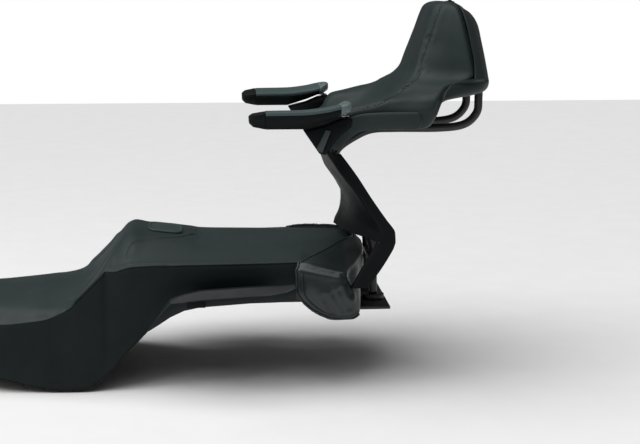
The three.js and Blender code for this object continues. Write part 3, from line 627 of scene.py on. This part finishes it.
def bolster_ring(row, sign, points):
    inner, outer = row[0:2], row[3:5]
    out_dir = (outer - inner) / np.linalg.norm(outer - inner)
    length = np.linalg.norm(outer - inner)
    r = min(7.0, length / 3.5)

    def at(t, z):
        p = inner + out_dir * t
        return (p[0], sign * p[1], z)

    hem = (row[6], sign * row[7], row[8])
    mid = [(at(length, row[5])[k] + hem[k]) / 2 for k in range(3)]
    mid[1] += sign * min(5.0, length / 14)
    lines = [
        at(0, row[9]), at(0, (row[9] + row[2]) / 2), at(0, row[2] - 4), at(1.2, row[2] - 1.0), at(4, row[2]),
        at(length * 0.5, (row[2] + row[5]) / 2 + min(6.0, length / 22)),
        at(length - r, row[5] + 1.5), at(length - 1, row[5] - 2), at(length, row[5] - r),
        tuple(mid), (hem[0], hem[1], hem[2] + 7), (hem[0], hem[1] - sign * 3, hem[2] + 1),
        (hem[0], hem[1] - sign * 9, hem[2]),
    ]
    return spline(lines, points)


def build_bolster():
    t = np.arange(len(BOLSTER), dtype=float)
    rows = pchip(t, BOLSTER, np.linspace(0, t[-1], 90))
    rings = [bolster_ring(row, 1, 70) for row in rows]
    rings += [bolster_ring(row, -1, 70) for row in rows[-2::-1]]
    obj = closed_loft("hip_bolster", rings, LEATHER)
    return remesh(obj, 3.2, smooth=3)


bolster = build_bolster()
TOP_SEAM = spline([(-139, 201, 100), (-124, 213, 101), (-103, 219, 98), (-78, 223, 93), (-56, 224, 88)], 50)
WRINKLES = [
    [(-74, 225, 52), (-66, 226, 36), (-56, 226, 22)], [(-62, 226, 58), (-54, 226, 40), (-44, 225, 26)],
    [(-88, 224, 44), (-80, 225, 30), (-72, 224, 18)], [(-52, 225, 84), (-50, 226, 66), (-44, 225, 50)],
]
for sign in (-1, 1):
    flip = [1, sign, 1]
    seam = laid_on(bvh_of(bolster), TOP_SEAM * flip)[0]
    shape_line(bolster, seam, 2.4, 3.0, puff=1.0, puff_at=9, puff_width=6)
    for wrinkle in WRINKLES:
        fold = spline(np.array(wrinkle) * flip, 16)
        shape_line(bolster, laid_on(bvh_of(bolster), fold)[0], 2.2, 5.0, puff=1.2, puff_at=11, puff_width=6)
bolster_tree = bvh_of(bolster)
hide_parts("bolster_cover", "bolster_foam")
ride_all.append((bolster, "seat", "leather"))

inner_top = [(row[0], row[1], row[2]) for row in BOLSTER[1:]]
loop = spline(inner_top + [(x, -y, z) for x, y, z in inner_top[-2::-1]], 220)
loop_line = laid_on(bolster_tree, loop, 1.2)[0]
ride_all.append((tube("bolster_piping_top", loop_line, 2.4, PIPING), "seat", "leather"))
EDGE = [(-135, 194, 106), (-141, 203, 97), (-142, 205, 76), (-141, 206, 56), (-131, 214, 36), (-108, 219, 16),
        (-88, 222, 7), (-66, 223, 3), (-42, 222, 4), (-27, 215, 12)]
for sign, word in SIDES:
    edge = spline(EDGE, 130) * [1, sign, 1]
    line = laid_on(bolster_tree, edge, 1.0)[0]
    ride_all.append((tube(f"bolster_piping_outer_{word}", line, 2.3, PIPING), "seat", "leather"))
    second = edge + np.array([5.5, 0, 5.5])
    second[:, 1] = sign * 224
    line = laid_on(bolster_tree, second[18:], 0.6)[0]
    ride_all.append((tube(f"bolster_piping_inner_{word}", line, 1.7, PIPING), "seat", "leather"))


# ---------- backrest ----------
# z, then (x, y) of ten points from the front centre round to the rear centre
CUSHION = np.array([
    [314, -78, 0, -79, 62, -84, 105, -90, 138, -93, 155, -89, 170, -80, 176, -68, 174, -60, 100, -55, 0],
    [337, -50, 0, -52, 66, -62, 110, -76, 140, -79, 162, -72, 186, -60, 191, -46, 190, -30, 110, -22, 0],
    [351, -24, 0, -27, 68, -42, 112, -66, 142, -69, 164, -63, 191, -48, 196, -30, 195, 0, 115, 10, 0],
    [356, -12, 0, -15, 70, -34, 113, -63, 143, -66, 165, -60, 192, 20, 197, 96, 198, 104, 115, 110, 0],
    [378, 20, 0, 16, 70, -6, 115, -52, 144, -56, 165, -50, 194, 30, 199, 114, 199, 118, 118, 122, 0],
    [391, 38, 0, 34, 70, 14, 115, -38, 145, -44, 165, -40, 193, 40, 199, 119, 199, 124, 118, 128, 0],
    [399, 46, 0, 42, 70, 26, 115, -8, 145, -14, 165, -10, 191, 50, 197, 122, 197, 130, 119, 134, 0],
    [406, 52, 0, 48, 70, 36, 115, 16, 144, 12, 164, 16, 187, 60, 195, 126, 195, 140, 119, 146, 0],
    [416, 58, 0, 56, 70, 48, 115, 42, 140, 44, 158, 60, 178, 92, 188, 130, 189, 200, 121, 205, 0],
    [425, 64, 0, 62, 70, 58, 112, 58, 136, 64, 150, 86, 166, 112, 174, 136, 177, 200, 122, 205, 0],
    [433, 68, 0, 68, 68, 68, 108, 72, 132, 80, 143, 100, 154, 124, 159, 146, 161, 200, 120, 205, 0],
    [441, 73, 0, 73, 64, 76, 100, 84, 121, 94, 130, 112, 136, 152, 138, 196, 138, 202, 92, 205, 0],
    [456, 82, 0, 84, 58, 88, 88, 94, 106, 105, 116, 121, 122, 160, 127, 200, 129, 203, 90, 205, 0],
    [480, 92, 0, 93, 55, 96, 80, 101, 96, 110, 106, 125, 114, 160, 121, 196, 124, 199, 86, 201, 0],
    [507, 102, 0, 103, 52, 106, 76, 113, 89, 121, 98, 135, 106, 160, 114, 191, 119, 194, 80, 196, 0],
    [532, 111, 0, 112, 50, 115, 72, 122, 85, 130, 94, 142, 101, 163, 108, 186, 112, 189, 75, 191, 0],
    [560, 121, 0, 121, 47, 124, 66, 131, 79, 139, 88, 150, 93, 165, 98, 180, 101, 183, 68, 185, 0],
    [575, 127, 0, 128, 42, 130, 60, 136, 72, 144, 80, 152, 84, 163, 88, 174, 90, 177, 58, 179, 0],
    [582, 136, 0, 137, 34, 139, 52, 143, 63, 149, 70, 155, 73, 162, 75, 168, 76, 171, 48, 173, 0],
    [585, 148, 0, 148.5, 26, 149, 40, 151, 50, 153.5, 56, 156, 58, 159.5, 57.5, 163, 52, 165, 34, 166, 0],
], float)
# z, seam x and y, shoulder x and y, rear x
SHELL = np.array([
    [404, 128, 198, 150, 128, 162], [410, 131, 193, 196, 124, 222], [417, 134, 187, 216, 120, 243],
    [425, 139, 181, 222, 117, 249], [434, 149, 165, 225, 114, 250], [442, 200, 140, 226, 110, 249],
    [470, 201, 129, 222, 102, 244], [507, 195, 121, 213, 94, 236], [540, 189, 112, 206, 85, 228],
    [562, 184, 102, 197, 74, 214], [576, 178.5, 88, 186, 62, 192], [583, 170, 62, 176, 46, 183],
], float)
SHELL_THICK = 3.0
# the sewn edge between the front and the side panel, and where the cushion meets the shell
FRONT_EDGE = [(-42, 195, 391), (10, 195, 406), (43, 165, 416), (64, 147, 431), (84, 125, 448),
              (92, 112, 458), (101, 100, 476), (112, 92, 504), (122, 88, 532), (131, 84, 560),
              (140, 78, 576)]
REAR_EDGE = [(168, 80, 580), (180, 100, 566), (193, 120, 514), (204, 129, 458), (205, 131, 448),
             (198, 140, 440), (170, 152, 436), (145, 172, 430), (134, 187, 420), (124, 197, 402),
             (118, 200, 386)]
EDGE_FOLDS = [[(86, 112, 484), (97, 104, 487), (110, 104, 484)],
              [(104, 100, 516), (114, 92, 521), (126, 94, 518)],
              [(78, 132, 456), (90, 120, 462), (104, 116, 458)]]


def build_backrest():
    rings = []
    for row in along_rows(CUSHION, 170):
        half = row[1:].reshape(10, 2)
        ring = ring_curve(np.vstack([half, half[-2:0:-1] * [1, -1]]), 10)
        rings.append(np.column_stack([ring, np.full(len(ring), row[0])]))
    obj = closed_loft("backrest_cushion", rings, VINYL)
    return remesh(obj, 2.8, smooth=5)


def build_shell():
    rows = []
    for z, xs, ys, xm, ym, xr in along_rows(SHELL, 90):
        half = [(xr, 0), (xr - 6, ym * 0.45), (xm, ym), (xs + 1.5, ys)]
        line = spline([(x, -y) for x, y in half[:0:-1]] + half, 91)
        rows.append(np.column_stack([line, np.full(len(line), z)]))
    rim, middle = rows[-1][:, :2], np.array([177.0, 0.0])
    for k, z in ((0.8, 584.6), (0.5, 585.2), (0.02, 585.4)):
        rows.append(np.column_stack([middle + (rim - middle) * k, np.full(len(rim), z)]))
    return open_skin("backrest_shell_skin", rows, SHELL_THICK, PLASTIC_SHELL)


backrest = build_backrest()
for sign in (-1, 1):
    flip = [1, sign, 1]
    front = laid_on(bvh_of(backrest), spline(FRONT_EDGE, 80) * flip)[0]
    shape_line(backrest, front[34:], 2.0, 3.6, puff=1.2, puff_at=12, puff_width=8)
    shape_line(backrest, front[:36], 1.3, 2.4, puff=0.8, puff_at=8, puff_width=5)
    for fold in EDGE_FOLDS:
        shape_line(backrest, laid_on(bvh_of(backrest), spline(np.array(fold) * flip, 14))[0], 1.2, 2.6,
                   puff=0.5, puff_at=7, puff_width=4)
    rear = laid_on(bvh_of(backrest), spline(REAR_EDGE, 90) * flip)[0]
    shape_line(backrest, rear, 2.6, 3.0, puff=0.8, puff_at=9, puff_width=6)
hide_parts("backrest_cover", "backrest_foam")
ride_all.append((backrest, "seat", "vinyl"))
backrest_tree = bvh_of(backrest)
for sign, word in SIDES:
    flip = [1, sign, 1]
    line = laid_on(backrest_tree, spline(FRONT_EDGE, 200) * flip, -0.4)[0]
    ride_all.append((tube(f"backrest_piping_{word}", line[4:], 1.1, PIPING, sides=8), "seat", "vinyl"))
    beside = spline(np.array(FRONT_EDGE) + [6, 2, 0], 200) * flip
    line, ups = laid_on(backrest_tree, beside, 0.2)
    row = stitches(f"backrest_stitch_{word}", line[10:], ups[10:], 6.0, 4.0, 0.4, THREAD)
    ride_all.append((row, "seat", "vinyl"))
shell = build_shell()
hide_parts("backrest_shell")
ride_all.append((shell, "seat", "plastic"))


# ---------- rolls under the wings ----------
BAND = [(-78, 322), (-58, 346), (-28, 366), (20, 371), (92, 371)]
BAND_Y, BAND_HALF_Z = 203.5, 16.0


def build_band(sign, word):
    path = spline(BAND, 90)
    tangent = np.gradient(path, axis=0)
    tangent /= np.linalg.norm(tangent, axis=1)[:, None]
    arc = np.concatenate([[0], np.cumsum(np.linalg.norm(np.diff(path, axis=0), axis=1))])
    rings = []
    for (x, z), (tx, tz), s in zip(path, tangent, arc):
        end = min(s, arc[-1] - s) / 12.0
        k = math.sqrt(max(0.02, 1 - (1 - min(1, end)) ** 2))
        bulge = 3.3 + 3.2 * min(1.0, max(0.0, (x + 34) / 30))
        ring = []
        for j in range(40):
            a = 2 * math.pi * j / 40
            c, q = math.cos(a), math.sin(a)
            up = math.copysign(abs(q) ** 0.8, q) * BAND_HALF_Z * k
            out = math.copysign(abs(c) ** 0.7, c) * (bulge if c > 0 else 3.0) * (0.35 + 0.65 * k)
            ring.append((x - tz * up, sign * (BAND_Y + out), z + tx * up))
        rings.append(ring)
    obj = closed_loft(f"wing_roll_{word}", rings, VINYL)
    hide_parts(f"{word}_wing_band")
    ride_all.append((obj, "seat", "vinyl"))


# ---------- lower back panel ----------
# z, centre x, ridge x, rear edge x, half width
PANEL = np.array([
    [148, -55, 6, 41, 225], [166, -46, 9, 40, 225], [190, -40, -2, 24, 225], [207, -39, -13, 12, 224],
    [232, -50, -28, -5, 221], [268, -74, -56, -28, 212], [292, -82, -73, -45, 200], [309, -86, -84, -58, 186],
], float)
PANEL_TAIL = np.array([[147.8, 6, 41], [138, 2, 38], [100, -20, 16], [62, -41, -12]], float)


def build_panel():
    rows = []
    for z, xc, xr, xo, w in along_rows(PANEL, 110):
        front = spline([(xc, 0), (xc + (xr - xc) * 0.25, w * 0.42), (xc + (xr - xc) * 0.8, w * 0.8),
                        (xr - 0.5, w - 11), (xr + 1, w - 4)], 44)
        corner = spline([(xr + 1, w - 4), (xr + 3, w - 1.2), (xr + 7, w)], 7)[1:]
        side = np.linspace((xr + 7, w), (xo, w), 14)[1:]
        half = np.vstack([front, corner, side])
        line = np.vstack([half[:0:-1] * [1, -1], half])
        rows.append(np.column_stack([line, np.full(len(line), z)]))
    obj = open_skin("lower_back_skin", rows, 3.0, PLASTIC)
    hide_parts("lower_back_panel")
    ride_all.append((obj, "seat", "plastic"))


def build_tail(sign, word):
    rows = []
    for z, xr, xo in along_rows(PANEL_TAIL, 50):
        front = spline([(xr, 212), (xr + 0.8, 219), (xr + 3, 223.6), (xr + 7, 225)], 16)
        line = np.vstack([front, np.linspace((xr + 7, 225), (xo, 225), 12)[1:]])
        rows.append(np.column_stack([line[:, 0], sign * line[:, 1], np.full(len(line), z)]))
    if sign > 0:
        rows = rows[::-1]
    obj = open_skin(f"panel_tail_skin_{word}", rows, 4.0, PLASTIC)
    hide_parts(f"{word}_panel_tail")
    ride_all.append((obj, "seat", "plastic"))


build_panel()
for sign, word in SIDES:
    build_band(sign, word)
    build_tail(sign, word)


# ---------- armrests ----------
# x, inner top z, outer top z, bottom z, half width, side crease z
ARM = np.array([
    [-229, 384, 387, 374, 27, 380], [-222, 388, 392, 368, 33, 381], [-200, 391, 396, 364, 39, 381],
    [-134, 392, 397, 364, 40, 382], [-92, 396.5, 401.5, 377, 40, 387], [-66, 402, 407, 387, 39.5, 393],
    [-54, 409, 409, 391, 36, 398], [-47, 410, 409, 395, 29, 400],
], float)
ARM_Y = 243.0
ARM_PAD = 7.0
# the pad's cross-section: share of the half width, and height over the table's top
ARM_SIDE = [(-1, -ARM_PAD), (-1, -3.0), (-0.985, -1.4), (-0.95, -0.45), (-0.9, 0.0), (-0.5, 0.9)]
ARM_CROWN = ARM_SIDE + [(0, 1.2)] + [(-y, k) for y, k in reversed(ARM_SIDE)]


def build_arm_pad(sign, word):
    rings = []
    for x in np.concatenate([[-199.9, -199.6, -199.0], np.linspace(-198, -68, 90), [-67, -66.4, -66.1]]):
        zi, zo, zb, hw, zc = pchip(ARM[:, 0], ARM[:, 1:], [x])[0]
        end = min(1.0, (min(x + 200, -66 - x) + 0.02) / 2.0)
        lift = -1.2 * (1 - math.sqrt(max(0.0, 1 - (1 - end) ** 2)))
        ring = []
        for y, k in ARM_CROWN:
            z_top = zi + (zo - zi) * (y + 1) / 2
            ring.append((x, sign * (ARM_Y + y * hw), z_top + k + (lift if k > -3 else 0)))
        rings.append(ring)
    # the pad carries the painted highlight of the armrest top: a lighter copy of the seat vinyl
    obj = closed_loft(f"arm_cushion_{word}", rings, VINYL_ARM_PAINTED_HIGHLIGHT)
    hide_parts(f"{word}_armrest_pad")
    ride_all.append((obj, f"{word}_armrest", "vinyl"))


for sign, word in SIDES:
    build_arm_pad(sign, word)
    arm = f"{word}_armrest"
    refined(arm + "_core", PLASTIC, "plastic", arm, 1.6)
    refined(arm + "_nose", PLASTIC, "plastic", arm, 1.8)
    refined(arm + "_cap", PLASTIC_GREY, "plastic", arm, 1.2)
    refined(arm + "_pivot", ZINC, "zinc", "seat", 0.5)
    refined(arm + "_washer", ZINC, "zinc", "seat", 0.3, 2)
    refined(arm + "_bracket", PLASTIC, "plastic", "seat", 3.0)
    refined(arm + "_strut", PLASTIC_STRUT, "plastic", "seat", 1.2)


# ---------- grab rails ----------
for word in ("left", "right"):
    refined(f"{word}_grab_rail", PLASTIC_RAIL, "plastic", "seat", 1.6)
    refined(f"{word}_grab_cap", PLASTIC, "plastic", "seat", 1.2)
    refined(f"{word}_grab_bracket", STEEL, "steel", "seat", 0.8, 2)
    for k in (1, 2):
        refined(f"{word}_grab_bolt_{k}", ZINC, "zinc", "seat", 0.5, 2)


# ---------- carrier and fixings ----------
UPRIGHT_Y, UPRIGHT_R = 64.0, 8.0
UPRIGHT_PATH = [(18, 16.8), (18, 60), (18, 108), (6, 145), (-12, 175), (-17, 200), (-28, 232), (-48, 262),
                (-57, 285), (-51, 305), (-18, 328), (14, 341), (60, 343), (150, 343), (196, 350),
                (219, 372), (222, 400), (222, 455)]
for sign, word in SIDES:
    path = spline([(x, sign * UPRIGHT_Y, z) for x, z in UPRIGHT_PATH], 160)
    upright = tube(f"upright_tube_{word}", path, UPRIGHT_R, STEEL, sides=28)
    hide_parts(f"{word}_upright")
    ride_all.append((upright, "seat", "steel"))
    refined(f"{word}_upright_flange", STEEL, "steel", "seat", 1.2)
    refined(f"{word}_seat_rail", STEEL, "steel", "seat", 1.2)
    refined(f"{word}_front_bumper", RUBBER, "rubber", "seat", 1.5)
    refined(f"{word}_rear_bumper", RUBBER, "rubber", "seat", 1.2)
refined("upright_cross_bar", STEEL, "steel", "seat", 0.8)
refined("carrier_foot", STEEL, "steel", "seat", 1.5)
refined("front_tongue", STEEL, "steel", "seat", 1.2)
refined("rear_seat_bracket", STEEL, "steel", "seat", 1.2)
refined("backrest_frame", STEEL, "steel", "seat", 0.8)
refined("seat_base_pan", PLASTIC, "plastic", "seat", 0.8, 2)


# ---------- camera, light, stage ----------
def look_at(obj, target):
    direction = Vector(target) - obj.location
    obj.rotation_euler = direction.to_track_quat("-Z", "Y").to_euler()


camera_data = bpy.data.cameras.new("camera")
camera_data.sensor_width = 36.0
camera_data.lens = 78.75
camera = bpy.data.objects.new("camera", camera_data)
bpy.context.scene.collection.objects.link(camera)
camera.location = (-0.30197, -2.74959, 0.62958)
look_at(camera, (-0.08142, 0.0, 0.14885))
bpy.context.scene.camera = camera
bpy.context.scene.view_settings.view_transform = "Standard"

for piece, body, slot_name in ride_all:
    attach(piece, body)


def area_light(name, place, target, size, energy):
    data = bpy.data.lights.new(name, "AREA")
    data.shape = "RECTANGLE"
    data.size, data.size_y = size
    data.energy = energy
    light = bpy.data.objects.new(name, data)
    bpy.context.scene.collection.objects.link(light)
    light.location = place
    look_at(light, target)


def sun_light(name, direction, energy, angle):
    data = bpy.data.lights.new(name, "SUN")
    data.energy = energy
    data.angle = math.radians(angle)
    light = bpy.data.objects.new(name, data)
    bpy.context.scene.collection.objects.link(light)
    look_at(light, direction)


sun_light("sky_panel", (0.3, 0.1, -1.0), 2.5, 70)
area_light("front", (-2.6, -0.6, 1.5), (-0.3, 0, 0.2), (1.6, 1.6), 16)
area_light("side", (-0.2, -2.6, 2.4), (-0.2, 0, 0.2), (2.0, 1.0), 7)

world = bpy.data.worlds.new("world")
world.use_nodes = True
background = world.node_tree.nodes["Background"]
ray = world.node_tree.nodes.new("ShaderNodeLightPath")
level = world.node_tree.nodes.new("ShaderNodeMapRange")
level.inputs["To Min"].default_value = 0.1
world.node_tree.links.new(ray.outputs["Is Camera Ray"], level.inputs["Value"])
world.node_tree.links.new(level.outputs["Result"], background.inputs["Strength"])
background.inputs["Color"].default_value = (1, 1, 1, 1)
bpy.context.scene.world = world

FLOOR_Z, FLOOR_HALF = -136, 6000
corners = [(x * FLOOR_HALF, y * FLOOR_HALF, FLOOR_Z) for x, y in ((-1, -1), (1, -1), (1, 1), (-1, 1))]
pale = plastic_material("floor_pale", (0.93, 0.93, 0.93), (0.95, 0.95, 0.95), 0.6, 0.7, 0.02)
floor = new_object("floor", corners, [(0, 1, 2, 3)], pale)
